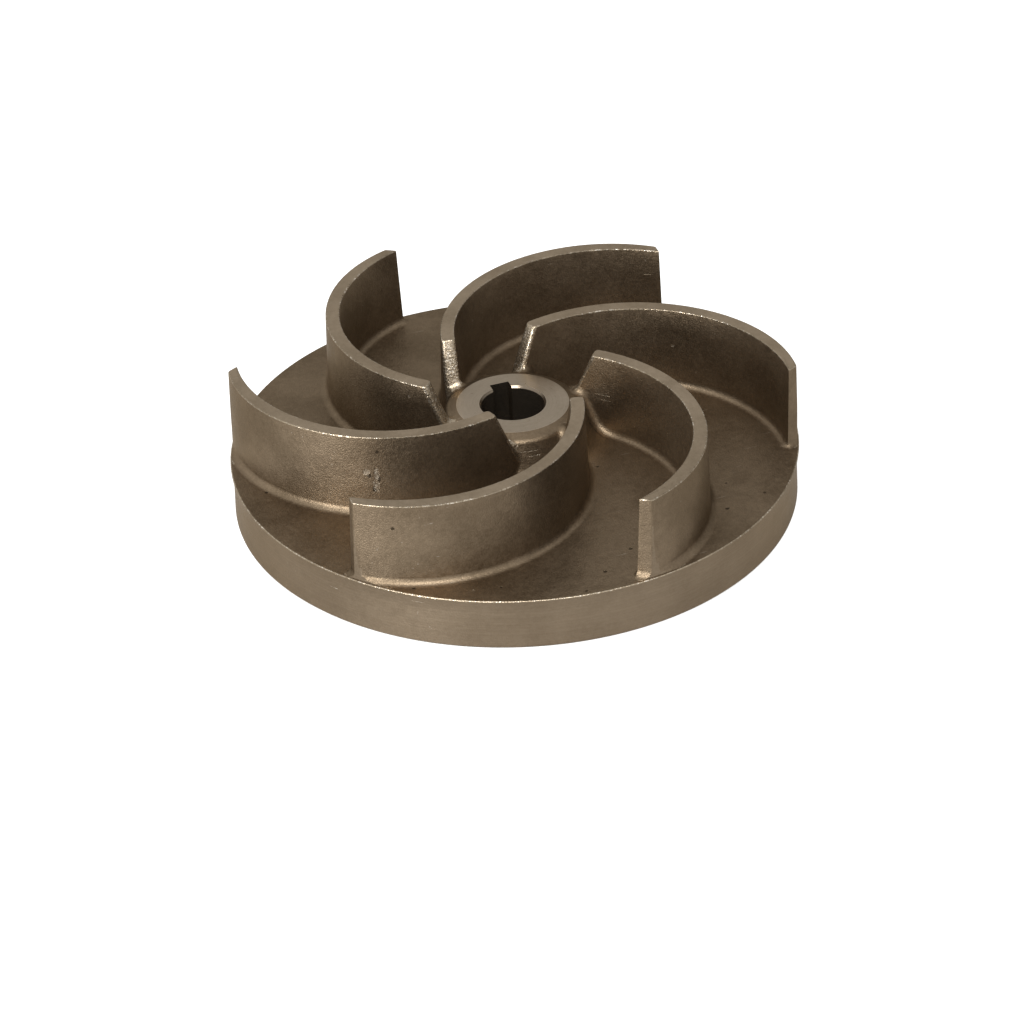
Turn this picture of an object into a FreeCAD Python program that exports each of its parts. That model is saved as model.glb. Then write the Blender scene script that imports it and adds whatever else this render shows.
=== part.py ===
import FreeCAD, Part
import math
import os

import Sketcher

# Semi-open pump impeller: one casting with a thick back disc, six backward-curved
# vanes, a central hub and a keyed bore.
# Z is the shaft axis, up is the inlet side. The origin is the centre of the bore at
# the hub's back face, and the keyway points along +Y. Sizes are mm and degrees.

SIZES = {
    # vanes: each follows one arc, is drafted all round and has a leaning inlet edge
    "vane_count": 6,
    "vane_rise": 22.0,
    "vane_sink": 2.5,
    "vane_thickness": 3.6,
    "vane_draft": 1.5,
    "vane_arc_radius": 41.5,
    "vane_arc_sweep": 116.6,
    "vane_phase": 18.6,
    "vane_inlet_gap": 7.575,
    "vane_inlet_lean": 23.5,
    "vane_inlet_round": 1.0,
    "vane_tip_inset": 1.7,
    "vane_tip_skew": 28.0,
    "vane_tip_step": 0.5,
    "vane_root_bevel": 1.6,
    # back disc: a turned band round its top edge, the cast rim below it
    "disc_diameter": 145.0,
    "turning_stock": 5.0,
    "rim_height": 14.0,
    "rim_band_height": 4.4,
    "rim_band_taper": 0.65,
    "rim_draft": 1.5,
    "rim_foot_bevel": 0.6,
    # hub and bore
    "hub_rise": 11.8,
    "hub_face_diameter": 28.6,
    "hub_shoulder_width": 2.8,
    "hub_shoulder_drop": 1.2,
    "hub_shoulder_round": 1.8,
    "hub_side_draft": 20.0,
    "hub_foot_fillet": 6.0,
    "bore_diameter": 16.0,
    "bore_bevel": 0.5,
    "keyway_width": 5.0,
    "keyway_depth": 2.3,
    # hollow back between the rim and the back boss
    "web_thickness": 6.5,
    "back_rim_width": 7.0,
    "back_boss_diameter": 34.0,
    "back_wall_draft": 5.0,
    "back_corner_bevel": 2.5,
}

# how far a cutting profile runs past the metal
OVERCUT = 3.0

# a point this close to a surface or a size counts as on it
TOUCH = 1e-4

# heights and radii that several features share, worked out in the sheet's own terms
VANE_TOP = "(Sizes.rim_height + Sizes.vane_rise)"
HUB_TOP = "(Sizes.rim_height + Sizes.hub_rise)"
RIM_RADIUS = "(Sizes.disc_diameter / 2)"
BORE_RADIUS = "(Sizes.bore_diameter / 2)"

# Where a vane runs: its middle line is one arc from an inlet point clear of the hub's
# face to a tip point near the rim. The arc's radius and sweep give its chord, and the
# chord with those two points gives the arc's centre. Angles at the centre are counted
# from the direction that points away from the shaft.
ARC = "Sizes.vane_arc_radius"
INLET = "(Sizes.hub_face_diameter / 2 + Sizes.vane_inlet_gap)"
TIP = f"({RIM_RADIUS} - Sizes.vane_tip_inset)"
CHORD = f"(2 * {ARC} * sin(Sizes.vane_arc_sweep / 2 * 1 deg))"
CHORD_TO_SHAFT = f"acos(({INLET}^2 + {CHORD}^2 - {TIP}^2) / (2 * {INLET} * {CHORD}))"
CENTRE_TO_SHAFT = f"({CHORD_TO_SHAFT} - (90 - Sizes.vane_arc_sweep / 2) * 1 deg)"
ARC_OFFSET = f"sqrt({INLET}^2 + {ARC}^2 - 2 * {INLET} * {ARC} * cos({CENTRE_TO_SHAFT}))"
INLET_ANGLE = f"acos(({INLET}^2 - {ARC_OFFSET}^2 - {ARC}^2) / (2 * {ARC_OFFSET} * {ARC}))"
TIP_ANGLE = f"({INLET_ANGLE} - Sizes.vane_arc_sweep * 1 deg)"

doc = FreeCAD.newDocument("PumpImpeller")
sheet = doc.addObject("Spreadsheet::Sheet", "Sizes")
for row, (alias, value) in enumerate(SIZES.items(), start=1):
    sheet.set(f"A{row}", alias)
    sheet.set(f"B{row}", str(value))
    sheet.setAlias(f"B{row}", alias)
doc.recompute()

body = doc.addObject("PartDesign::Body", "Impeller")
body.Label = "impeller"

# the vanes stand apart until the disc joins them
body.AllowCompound = True


def origin_feature(role):
    return next(item for item in body.Origin.OriginFeatures if item.Role == role)


def worked_out(expression):
    """The plain value of an expression on the sheet."""
    value = sheet.evalExpression(expression)
    return getattr(value, "Value", value)


def new_sketch(name, plane, lift="0", turn="0"):
    """A sketch on one of the body's own planes, lifted and turned by expressions."""
    sketch = body.newObject("Sketcher::SketchObject", name)
    sketch.AttachmentSupport = [(origin_feature(plane), "")]
    sketch.MapMode = "FlatFace"
    sketch.setExpression("AttachmentOffset.Base.z", f"{lift} * 1 mm")
    sketch.setExpression("AttachmentOffset.Rotation.Angle", f"{turn} * 1 deg")
    return sketch


def bind(sketch, constraint, expression):
    """Adds a dimension to a sketch and ties it to the sheet."""
    index = sketch.addConstraint(constraint)
    sketch.setExpression(f"Constraints[{index}]", expression)


def closed_outline(sketch, corners):
    """Straight lines round a list of corners, each placed by two expressions."""
    count = len(corners)
    start = []
    for index in range(count):
        angle = 2 * math.pi * index / count
        start.append(FreeCAD.Vector(math.cos(angle), math.sin(angle), 0))
    for index in range(count):
        sketch.addGeometry(Part.LineSegment(start[index], start[(index + 1) % count]))
    for index in range(count):
        sketch.addConstraint(Sketcher.Constraint("Coincident", index, 2, (index + 1) % count, 1))
    for index, (across, up) in enumerate(corners):
        bind(sketch, Sketcher.Constraint("DistanceX", -1, 1, index, 1, start[index].x), across)
        bind(sketch, Sketcher.Constraint("DistanceY", -1, 1, index, 1, start[index].y), up)
    doc.recompute()


def round_corner(sketch, corner, alias):
    """Rounds one corner of a closed outline, whose own two dimensions stay."""
    size = SIZES[alias]
    before = sketch.Geometry[corner - 1]
    after = sketch.Geometry[corner]
    near_before = before.value(before.LastParameter - size / 2)
    near_after = after.value(after.FirstParameter + size / 2)
    arc = sketch.GeometryCount
    sketch.fillet(corner - 1, corner, near_before, near_after, size, True, True)
    bind(sketch, Sketcher.Constraint("Radius", arc, size), f"Sizes.{alias}")
    doc.recompute()


def turned(kind, name, corners, rounds=()):
    """A profile of radius and height turned once round the shaft axis."""
    sketch = new_sketch(f"{name}Profile", "XZ_Plane")
    closed_outline(sketch, corners)
    for corner, alias in rounds:
        round_corner(sketch, corner, alias)
    feature = body.newObject(kind, name)
    feature.Profile = sketch
    feature.ReferenceAxis = (sketch, ["V_Axis"])
    feature.Angle = 360
    doc.recompute()
    return feature


def dress(kind, name, edges, size):
    """A fillet or a chamfer on named edges of the body as it stands."""
    if not edges:
        raise ValueError(f"{name} finds no edges")
    base = body.Tip
    feature = body.newObject(kind, name)
    feature.Base = (base, edges)
    feature.setExpression("Radius" if kind == "PartDesign::Fillet" else "Size", size)
    doc.recompute()
    return feature


def require_change(feature, before, sign):
    """Stops the build where a step adds or takes off nothing; sign is +1 or -1."""
    change = feature.Shape.Volume - before
    print(f"{feature.Name} changes the volume by {change:.0f} cubic mm")
    if change * sign <= 0:
        raise ValueError(f"{feature.Name} does nothing or works the wrong way")


# One vane first. Its outline lies at the machined top, with the arcs' shared centre on
# the sketch's X axis, and is padded down to a foot sunk in the disc.
half_thickness = SIZES["vane_thickness"] / 2
inlet = math.radians(worked_out(INLET_ANGLE))
tip = math.radians(worked_out(TIP_ANGLE))
arc_centre = FreeCAD.Vector(worked_out(ARC_OFFSET), 0, 0)


def from_centre(distance, angle):
    """A point of the outline's sketch, seen from the centre of the vane's arcs."""
    return arc_centre + FreeCAD.Vector(distance * math.cos(angle), distance * math.sin(angle), 0)


def wall_arc(distance):
    circle = Part.Circle(arc_centre, FreeCAD.Vector(0, 0, 1), distance)
    return outline.addGeometry(Part.ArcOfCircle(circle, tip, inlet))


outline = new_sketch("VaneOutline", "XY_Plane", VANE_TOP, "Sizes.vane_phase")
outer_radius = SIZES["vane_arc_radius"] + half_thickness
inner_radius = SIZES["vane_arc_radius"] - half_thickness
convex = wall_arc(outer_radius)
concave = wall_arc(inner_radius)
nose = outline.addGeometry(
    Part.LineSegment(from_centre(outer_radius, inlet), from_centre(inner_radius, inlet))
)
end = outline.addGeometry(
    Part.LineSegment(from_centre(inner_radius, tip), from_centre(outer_radius, tip))
)
middle = from_centre(SIZES["vane_arc_radius"], tip)
spoke = outline.addGeometry(Part.LineSegment(arc_centre, middle), True)

shared_points = [
    (convex, 2, nose, 1),
    (nose, 2, concave, 2),
    (concave, 1, end, 1),
    (end, 2, convex, 1),
    (convex, 3, concave, 3),
    (spoke, 1, convex, 3),
]
for points in shared_points:
    outline.addConstraint(Sketcher.Constraint("Coincident", *points))
outline.addConstraint(Sketcher.Constraint("PointOnObject", convex, 3, -1))
outline.addConstraint(Sketcher.Constraint("PointOnObject", convex, 3, nose))
outline.addConstraint(Sketcher.Constraint("PointOnObject", spoke, 2, end))

dimensions = [
    (("DistanceX", -1, 1, convex, 3, arc_centre.x), ARC_OFFSET),
    (("Radius", convex, outer_radius), "Sizes.vane_arc_radius + Sizes.vane_thickness / 2"),
    (("Radius", concave, inner_radius), "Sizes.vane_arc_radius - Sizes.vane_thickness / 2"),
    (("Distance", spoke, SIZES["vane_arc_radius"]), "Sizes.vane_arc_radius"),
    (("Angle", nose, inlet - math.pi), f"{INLET_ANGLE} - 180 deg"),
    (("Angle", spoke, tip), TIP_ANGLE),
    (
        ("Angle", end, tip + math.radians(SIZES["vane_tip_skew"])),
        f"{TIP_ANGLE} + Sizes.vane_tip_skew * 1 deg",
    ),
]
for dimension, expression in dimensions:
    bind(outline, Sketcher.Constraint(*dimension), expression)
doc.recompute()

vane = body.newObject("PartDesign::Pad", "Vane")
vane.Profile = outline
vane.Reversed = True
vane.setExpression("Length", "(Sizes.vane_rise + Sizes.vane_sink) * 1 mm")
doc.recompute()


def top_point(geometry, share):
    """A point of the vane's top outline, part way along one of its lines or arcs."""
    line = outline.Geometry[geometry]
    along = line.FirstParameter + share * (line.LastParameter - line.FirstParameter)
    return Part.Vertex(outline.Placement.multVec(line.value(along)))


def wall_below(geometry):
    """Name of the vane's wall under one line of its top outline."""
    point = top_point(geometry, 0.5)
    for number, face in enumerate(body.Shape.Faces, start=1):
        level = face.BoundBox.ZLength < TOUCH
        if not level and face.distToShape(point)[0] < TOUCH:
            return f"Face{number}"
    raise ValueError("the vane has no wall below its outline")


def top_face():
    """Name of the vane's flat top, the only level face that holds its outline."""
    point = top_point(convex, 0.5)
    for number, face in enumerate(body.Shape.Faces, start=1):
        level = face.BoundBox.ZLength < TOUCH
        if level and face.distToShape(point)[0] < TOUCH:
            return f"Face{number}"
    raise ValueError("the vane has no top")


def corner_below(geometry, share):
    """Name of the edge that runs down from one corner of the vane's top outline."""
    point = top_point(geometry, share)
    for number, edge in enumerate(body.Shape.Edges, start=1):
        level = edge.BoundBox.ZLength < TOUCH
        if not level and edge.distToShape(point)[0] < TOUCH:
            return f"Edge{number}"
    raise ValueError("the vane has no edge below its corner")


def leaning(name, walls, alias):
    """Leans walls outwards from the vane's top, which keeps its outline."""
    base = body.Tip
    top = top_face()
    feature = body.newObject("PartDesign::Draft", name)
    feature.Base = (base, walls)
    feature.NeutralPlane = (base, [top])
    feature.setExpression("Angle", f"Sizes.{alias} * 1 deg")
    doc.recompute()
    require_change(feature, base.Shape.Volume, +1)
    return feature


leaning("VaneDraft", [wall_below(convex), wall_below(concave), wall_below(end)], "vane_draft")
leaning("InletLean", [wall_below(nose)], "vane_inlet_lean")
inlet_corners = [corner_below(nose, 0), corner_below(nose, 1)]
dress("PartDesign::Fillet", "InletRounds", inlet_corners, "Sizes.vane_inlet_round")

vanes = body.newObject("PartDesign::PolarPattern", "Vanes")
vanes.TransformMode = "Whole shape"
vanes.Axis = (origin_feature("Z_Axis"), [""])
vanes.Angle = 360
vanes.setExpression("Occurrences", "Sizes.vane_count")
body.Tip = vanes
doc.recompute()
require_change(vanes, vane.Shape.Volume, +1)

# The disc and hub, turned as one profile with stock left at the rim, join the vanes.
SHOULDER_RADIUS = "(Sizes.hub_face_diameter / 2 + Sizes.hub_shoulder_width)"
SHOULDER_RISE = "(Sizes.hub_rise - Sizes.hub_shoulder_drop)"
FOOT_RADIUS = f"({SHOULDER_RADIUS} + {SHOULDER_RISE} * tan(Sizes.hub_side_draft * 1 deg))"
BLANK_RADIUS = f"({RIM_RADIUS} + Sizes.turning_stock)"

blank = turned(
    "PartDesign::Revolution",
    "Blank",
    [
        ("0", "0"),
        (BLANK_RADIUS, "0"),
        (BLANK_RADIUS, "Sizes.rim_height"),
        (FOOT_RADIUS, "Sizes.rim_height"),
        (SHOULDER_RADIUS, f"Sizes.rim_height + {SHOULDER_RISE}"),
        ("Sizes.hub_face_diameter / 2", HUB_TOP),
        ("0", HUB_TOP),
    ],
    [(3, "hub_foot_fillet"), (4, "hub_shoulder_round")],
)
require_change(blank, vanes.Shape.Volume, +1)


def root_edges():
    """Names of the edges where vanes meet the blank: on its skin, but not its own edges."""
    skin = blank.AddSubShape
    seams = Part.makeCompound(skin.Edges)
    names = []
    for number, edge in enumerate(body.Shape.Edges, start=1):
        first, last = edge.ParameterRange
        places = [edge.valueAt(first + share * (last - first)) for share in (0.1, 0.5, 0.9)]
        points = [Part.Vertex(place) for place in places]
        on_skin = all(skin.distToShape(point)[0] < TOUCH for point in points)
        on_seam = all(seams.distToShape(point)[0] < TOUCH for point in points)
        if on_skin and not on_seam:
            names.append(f"Edge{number}")
    return names


roots = dress("PartDesign::Chamfer", "VaneRoots", root_edges(), "Sizes.vane_root_bevel")
require_change(roots, blank.Shape.Volume, +1)

# Turning: the vane tips to their own diameter, then the rim with its slightly tapered
# band. The cast rim below the band flares a little down to its bevelled foot.
TIP_RADIUS = f"({RIM_RADIUS} - Sizes.vane_tip_step)"
BAND_RADIUS = f"({RIM_RADIUS} - Sizes.rim_band_taper)"
BAND_FOOT = "(Sizes.rim_height - Sizes.rim_band_height)"
RIM_FLARE = f"({BAND_FOOT} - Sizes.rim_foot_bevel) * tan(Sizes.rim_draft * 1 deg)"
RIM_FOOT_RADIUS = f"({BAND_RADIUS} + {RIM_FLARE})"
PAST_STOCK = f"{BLANK_RADIUS} + {OVERCUT}"
PAST_TOP = f"{VANE_TOP} + {OVERCUT}"
PAST_FOOT = f"0 - {OVERCUT}"

rim = turned(
    "PartDesign::Groove",
    "RimTurning",
    [
        (TIP_RADIUS, PAST_TOP),
        (TIP_RADIUS, "Sizes.rim_height"),
        (RIM_RADIUS, "Sizes.rim_height"),
        (BAND_RADIUS, BAND_FOOT),
        (RIM_FOOT_RADIUS, "Sizes.rim_foot_bevel"),
        (f"{RIM_FOOT_RADIUS} - Sizes.rim_foot_bevel", "0"),
        (f"{RIM_FOOT_RADIUS} - Sizes.rim_foot_bevel", PAST_FOOT),
        (PAST_STOCK, PAST_FOOT),
        (PAST_STOCK, PAST_TOP),
    ],
)
require_change(rim, roots.Shape.Volume, -1)

# The hollow back: its walls lean so that the casting leaves its mould.
HOLLOW_DEPTH = "(Sizes.rim_height - Sizes.web_thickness)"
WALL_HEIGHT = f"({HOLLOW_DEPTH} - Sizes.back_corner_bevel)"
WALL_LEAN = f"({WALL_HEIGHT} * tan(Sizes.back_wall_draft * 1 deg))"
BOSS_RADIUS = "(Sizes.back_boss_diameter / 2)"
SKIRT_RADIUS = f"({RIM_RADIUS} - Sizes.back_rim_width)"

hollow = turned(
    "PartDesign::Groove",
    "HollowBack",
    [
        (BOSS_RADIUS, "0"),
        (f"{BOSS_RADIUS} + {WALL_LEAN}", WALL_HEIGHT),
        (f"{BOSS_RADIUS} + {WALL_LEAN} + Sizes.back_corner_bevel", HOLLOW_DEPTH),
        (f"{SKIRT_RADIUS} - {WALL_LEAN} - Sizes.back_corner_bevel", HOLLOW_DEPTH),
        (f"{SKIRT_RADIUS} - {WALL_LEAN}", WALL_HEIGHT),
        (SKIRT_RADIUS, "0"),
    ],
)
require_change(hollow, rim.Shape.Volume, -1)


def cut_through(name, sketch):
    """Cuts a sketch up through the whole hub."""
    before = body.Shape.Volume
    pocket = body.newObject("PartDesign::Pocket", name)
    pocket.Profile = sketch
    pocket.Reversed = True
    pocket.setExpression("Length", f"{HUB_TOP} * 1 mm")
    doc.recompute()
    require_change(pocket, before, -1)


def bore_mouths():
    """Names of the bore's two round edges."""
    radius = SIZES["bore_diameter"] / 2
    names = []
    for number, edge in enumerate(body.Shape.Edges, start=1):
        if not isinstance(edge.Curve, Part.Circle):
            continue
        centre = edge.Curve.Center
        on_axis = math.hypot(centre.x, centre.y) < TOUCH
        if on_axis and abs(edge.Curve.Radius - radius) < TOUCH:
            names.append(f"Edge{number}")
    return names


# The bore, the bevels at its two mouths and its keyway.
bore_circle = new_sketch("BoreCircle", "XY_Plane")
bore_circle.addGeometry(Part.Circle(FreeCAD.Vector(0, 0, 0), FreeCAD.Vector(0, 0, 1), 1))
bore_circle.addConstraint(Sketcher.Constraint("Coincident", 0, 3, -1, 1))
bind(bore_circle, Sketcher.Constraint("Radius", 0, 1), BORE_RADIUS)
cut_through("Bore", bore_circle)
dress("PartDesign::Chamfer", "BoreMouths", bore_mouths(), "Sizes.bore_bevel")

keyway_outline = new_sketch("KeywayOutline", "XY_Plane")
closed_outline(
    keyway_outline,
    [
        ("0 - Sizes.keyway_width / 2", "0"),
        ("Sizes.keyway_width / 2", "0"),
        ("Sizes.keyway_width / 2", f"{BORE_RADIUS} + Sizes.keyway_depth"),
        ("0 - Sizes.keyway_width / 2", f"{BORE_RADIUS} + Sizes.keyway_depth"),
    ],
)
cut_through("Keyway", keyway_outline)

# Nothing is written unless every step worked and the casting is one sound solid.
for item in doc.Objects:
    if "Invalid" in item.State or "Error" in item.State:
        raise ValueError(f"{item.Name} failed: {item.State}")
shape = body.Shape
if shape.isNull() or not shape.isValid() or len(shape.Solids) != 1:
    raise ValueError("the impeller is not one valid solid")
print(f"volume {shape.Volume:.0f} cubic mm, {len(shape.Faces)} faces")

os.makedirs("parts", exist_ok=True)
shape.exportStep(f"parts/{body.Label}.step")
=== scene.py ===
# %% [markdown]
# This lesson dresses a pump impeller: a disc with six swept vanes and a hub, cast in one
# piece of stainless steel and then turned on its faces. The casting is loaded first as
# the frame that every later step is fitted to.

# %% Frame
import math

import bmesh
import bpy
from contextlib import contextmanager
from functools import partial
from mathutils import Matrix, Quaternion, Vector


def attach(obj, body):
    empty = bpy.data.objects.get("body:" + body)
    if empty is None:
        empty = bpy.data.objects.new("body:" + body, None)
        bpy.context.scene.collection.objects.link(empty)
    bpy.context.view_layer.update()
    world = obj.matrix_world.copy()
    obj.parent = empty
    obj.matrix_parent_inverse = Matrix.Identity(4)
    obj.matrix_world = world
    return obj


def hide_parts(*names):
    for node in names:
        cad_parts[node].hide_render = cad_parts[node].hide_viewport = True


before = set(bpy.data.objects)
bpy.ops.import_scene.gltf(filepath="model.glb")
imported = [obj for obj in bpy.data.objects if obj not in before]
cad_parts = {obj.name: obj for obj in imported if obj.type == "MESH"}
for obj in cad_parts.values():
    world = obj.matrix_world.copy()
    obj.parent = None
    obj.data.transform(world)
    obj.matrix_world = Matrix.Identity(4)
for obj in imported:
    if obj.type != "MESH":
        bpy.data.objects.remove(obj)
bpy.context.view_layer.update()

# %% [markdown]
# The sizes of the casting, in millimetres and degrees. The drawing of such a part gives
# heights from the back face, so the back is at height 0, the disc's top at 14 and the
# vane tops at 36. Towards its tip a vane gets thinner, by a share of its thickness over
# a share of its length. Blender counts in metres, and one factor turns millimetres into
# them.

# %% Sizes
MM = 0.001
SIZES = dict(
    vane_count=6, vane_turn=18.6, vane_top=36.0, vane_foot=11.5, vane_thickness=3.6,
    arc_radius=41.5, arc_offset=32.1, wall_draft=1.5, root_round=1.9, edge_wear=0.28,
    tip_angle=32.0, tip_skew=36.0, tip_round=0.35, thinning=0.28, thinned_share=0.3,
    inlet_angle=148.6, inlet_lean=23.5, inlet_round=1.0,
    disc_radius=72.5, disc_top=14.0, stock_radius=77.5, tip_radius=72.0, band_radius=71.85,
    band_foot=9.6, hub_face=25.8, hub_face_radius=14.3,
    bore_radius=8.0, bore_bevel=0.5, keyway_width=5.0, keyway_depth=2.3,
)
print("sizes:", len(SIZES))

# %% [markdown]
# Each vane is a thin curved wall. Its middle line follows one arc, its sides lean a
# little so that the wax pattern leaves its mould, and its inner end leans towards the
# shaft. A shape that follows such a rule suits Geometry Nodes: a plain box with a fine
# grid is bent into place by sums on its coordinates. The helpers below name a tree's
# input, add a node with its inputs filled, and add a node for one sum.

# %% Helpers for nodes
def tree_input(tree, name, kind, value=None):
    """A named input of a node tree, with its starting value."""
    socket = tree.interface.new_socket(name, in_out="INPUT", socket_type=kind)
    if value is not None:
        socket.default_value = value


def fill(tree, node, values):
    """Fills a node's inputs, each with a value or with another node's output."""
    for key, value in values.items():
        if isinstance(value, bpy.types.NodeSocket):
            tree.links.new(value, node.inputs[key])
        else:
            node.inputs[key].default_value = value


def add_node(tree, kind, values, **settings):
    """Adds a node, sets its own settings and fills its inputs."""
    node = tree.nodes.new(kind)
    for key, value in settings.items():
        setattr(node, key, value)
    fill(tree, node, values)
    return node


def sum_node(tree, operation, *values):
    """One Math node, with a number or another node's output for each value."""
    values = dict(enumerate(values))
    return add_node(tree, "ShaderNodeMath", values, operation=operation).outputs[0]


# %% [markdown]
# The tree for one vane. Along the box, 0 is the outer tip and 1 the inlet end. Across
# it, the grid lines crowd towards the two walls, so that the ends can be rounded: near a
# wall, the end is pulled back by the height of a quarter circle. Depth is measured down
# from the top, where the outline is true to size, and the draft adds to the thickness.
# Each point also keeps its place in the plain box, for a later step to find the walls by.

# %% Vane tree
LENGTHS = (
    "Arc Radius", "Arc Offset", "Vane Thickness", "Vane Top", "Vane Foot", "Inlet Round",
    "Tip Round",
)
ANGLES = ("Tip Angle", "Tip Skew", "Inlet Angle", "Inlet Lean", "Wall Draft")
SHARES = ("Thinning", "Thinned Share")


def vane_tree():
    """Geometry Nodes tree that bends a box with a fine grid into one vane."""
    tree = bpy.data.node_groups.new("bent vane", "GeometryNodeTree")
    for name in LENGTHS + ANGLES + SHARES:
        tree_input(tree, name, "NodeSocketFloat")
    for name in ("Steps Along", "Steps Across", "Levels"):
        tree_input(tree, name, "NodeSocketInt")
    tree_input(tree, "Finish", "NodeSocketMaterial")
    given = tree.nodes.new("NodeGroupInput").outputs

    calc = partial(sum_node, tree)
    box = add_node(tree, "GeometryNodeMeshCube", {
        "Vertices X": given["Steps Along"], "Vertices Y": given["Steps Across"],
        "Vertices Z": given["Levels"],
    })
    place = tree.nodes.new("GeometryNodeInputPosition").outputs[0]
    split = add_node(tree, "ShaderNodeSeparateXYZ", {0: place}).outputs
    along = calc("ADD", split["X"], 0.5)
    crowded = calc("SINE", calc("MULTIPLY", split["Y"], math.pi))
    height = calc("SUBTRACT", given["Vane Top"], given["Vane Foot"])
    depth = calc("MULTIPLY", calc("SUBTRACT", 0.5, split["Z"]), height)
    flare = calc("MULTIPLY", depth, calc("TANGENT", given["Wall Draft"]))
    half = calc("ADD", calc("MULTIPLY", given["Vane Thickness"], 0.5), flare)
    from_tip = calc("DIVIDE", along, given["Thinned Share"])
    near_tip = calc("POWER", calc("MAXIMUM", calc("SUBTRACT", 1.0, from_tip), 0.0), 2.0)
    thinned = calc("MULTIPLY", near_tip, given["Thinning"])
    half = calc("MULTIPLY", half, calc("SUBTRACT", 1.0, thinned))
    across = calc("MULTIPLY", crowded, half)
    radius = calc("ADD", given["Arc Radius"], across)

    def pulled_back(size):
        """How far the end draws back near a wall, for a corner of this radius."""
        into = calc("SUBTRACT", calc("ABSOLUTE", across), calc("SUBTRACT", half, size))
        share = calc("DIVIDE", calc("MAXIMUM", into, 0.0), size)
        square = calc("SUBTRACT", 1.0, calc("POWER", share, 2.0))
        rest = calc("SQRT", calc("MAXIMUM", square, 0.0))
        return calc("MULTIPLY", size, calc("SUBTRACT", 1.0, rest))

    skew = calc("MULTIPLY", across, calc("TANGENT", given["Tip Skew"]))
    skew = calc("ADD", calc("SUBTRACT", skew, flare), pulled_back(given["Tip Round"]))
    tip = calc("ADD", given["Tip Angle"], calc("ARCTAN2", skew, radius))
    lean = calc("MULTIPLY", depth, calc("TANGENT", given["Inlet Lean"]))
    lean = calc("SUBTRACT", lean, pulled_back(given["Inlet Round"]))
    inlet = calc("ADD", given["Inlet Angle"], calc("ARCTAN2", lean, radius))
    angle = calc("ADD", tip, calc("MULTIPLY", along, calc("SUBTRACT", inlet, tip)))

    joined = add_node(tree, "ShaderNodeCombineXYZ", {
        "X": calc("ADD", given["Arc Offset"], calc("MULTIPLY", radius, calc("COSINE", angle))),
        "Y": calc("MULTIPLY", radius, calc("SINE", angle)),
        "Z": calc("SUBTRACT", given["Vane Top"], depth),
    })
    marked = add_node(tree, "GeometryNodeStoreNamedAttribute", {
        "Geometry": box.outputs["Mesh"], "Name": "box_place", "Value": place,
    }, data_type="FLOAT_VECTOR")
    bent = add_node(tree, "GeometryNodeSetPosition", {
        "Geometry": marked.outputs[0], "Position": joined.outputs[0],
    })
    finish_tree(tree, bent.outputs[0], given["Finish"])
    return tree


def finish_tree(tree, geometry, material):
    """Ends a tree: real geometry, with its material set."""
    real = add_node(tree, "GeometryNodeRealizeInstances", {0: geometry})
    dressed = add_node(tree, "GeometryNodeSetMaterial", {
        "Geometry": real.outputs[0], "Material": material,
    })
    tree.interface.new_socket("Geometry", in_out="OUTPUT", socket_type="NodeSocketGeometry")
    add_node(tree, "NodeGroupOutput", {0: dressed.outputs[0]})


# %% [markdown]
# Seven finishes show on the part: the bare cast skin, the ground vane tops, the edges
# that handling has worn bright, which also carry painted glints, the turned hub face, the
# turned rim with the vane tips, the bore, painted darker as shade inside it, and the
# turned back. The materials are made empty here, so that each step can mark its faces,
# and get their nodes later.

# %% Finishes
FINISHES = (
    "cast_skin", "ground_tops", "worn_edges_and_glints", "turned_hub", "turned_rim", "bored_wall",
    "turned_back",
)
finish = {}
for name in FINISHES:
    finish[name] = bpy.data.materials.new(name)
    finish[name].use_nodes = True
print("finishes:", list(finish))

# %% [markdown]
# A modifier's inputs are set by their identifiers, before the piece is first evaluated.
# The mesh of the evaluated piece then takes the place of its modifiers, so that the next
# step can mark and change it.

# %% One vane
def new_piece(name, data):
    """An object at the origin that shows this mesh, lamp or camera."""
    piece = bpy.data.objects.new(name, data)
    bpy.context.scene.collection.objects.link(piece)
    return piece


def made_plain(piece):
    """Applies the modifiers of a piece and keeps the result as its mesh."""
    graph = bpy.context.evaluated_depsgraph_get()
    graph.update()
    mesh = bpy.data.meshes.new_from_object(piece.evaluated_get(graph))
    piece.modifiers.clear()
    piece.data = mesh
    return piece


def grow(piece, tree, values):
    """Runs a Geometry Nodes tree on a piece, with its named inputs."""
    step = piece.modifiers.new(tree.name, "NODES")
    step.node_group = tree
    for item in tree.interface.items_tree:
        if item.in_out == "INPUT" and item.name in values:
            step[item.identifier] = values[item.name]
    return made_plain(piece)


def sized(titles, unit):
    """The sizes with the names of these inputs, in Blender's unit."""
    return {title: SIZES[title.lower().replace(" ", "_")] * unit for title in titles}


vane = grow(new_piece("vane", bpy.data.meshes.new("vane")), vane_tree(), {
    **sized(LENGTHS, MM), **sized(ANGLES, math.pi / 180), **sized(SHARES, 1),
    "Steps Along": 65, "Steps Across": 9, "Levels": 20, "Finish": finish["cast_skin"],
})
print("vane:", len(vane.data.vertices), "points")

# %% [markdown]
# The disc and the hub are one turned shape. Its profile is a list of corners, each with
# its radius, its height and the size of its rounding. It goes round the hollow back, up
# the outside, over the disc and the hub, and down the bore. The rim keeps some stock
# outside, which a later cut takes off together with the vane tips.

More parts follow.
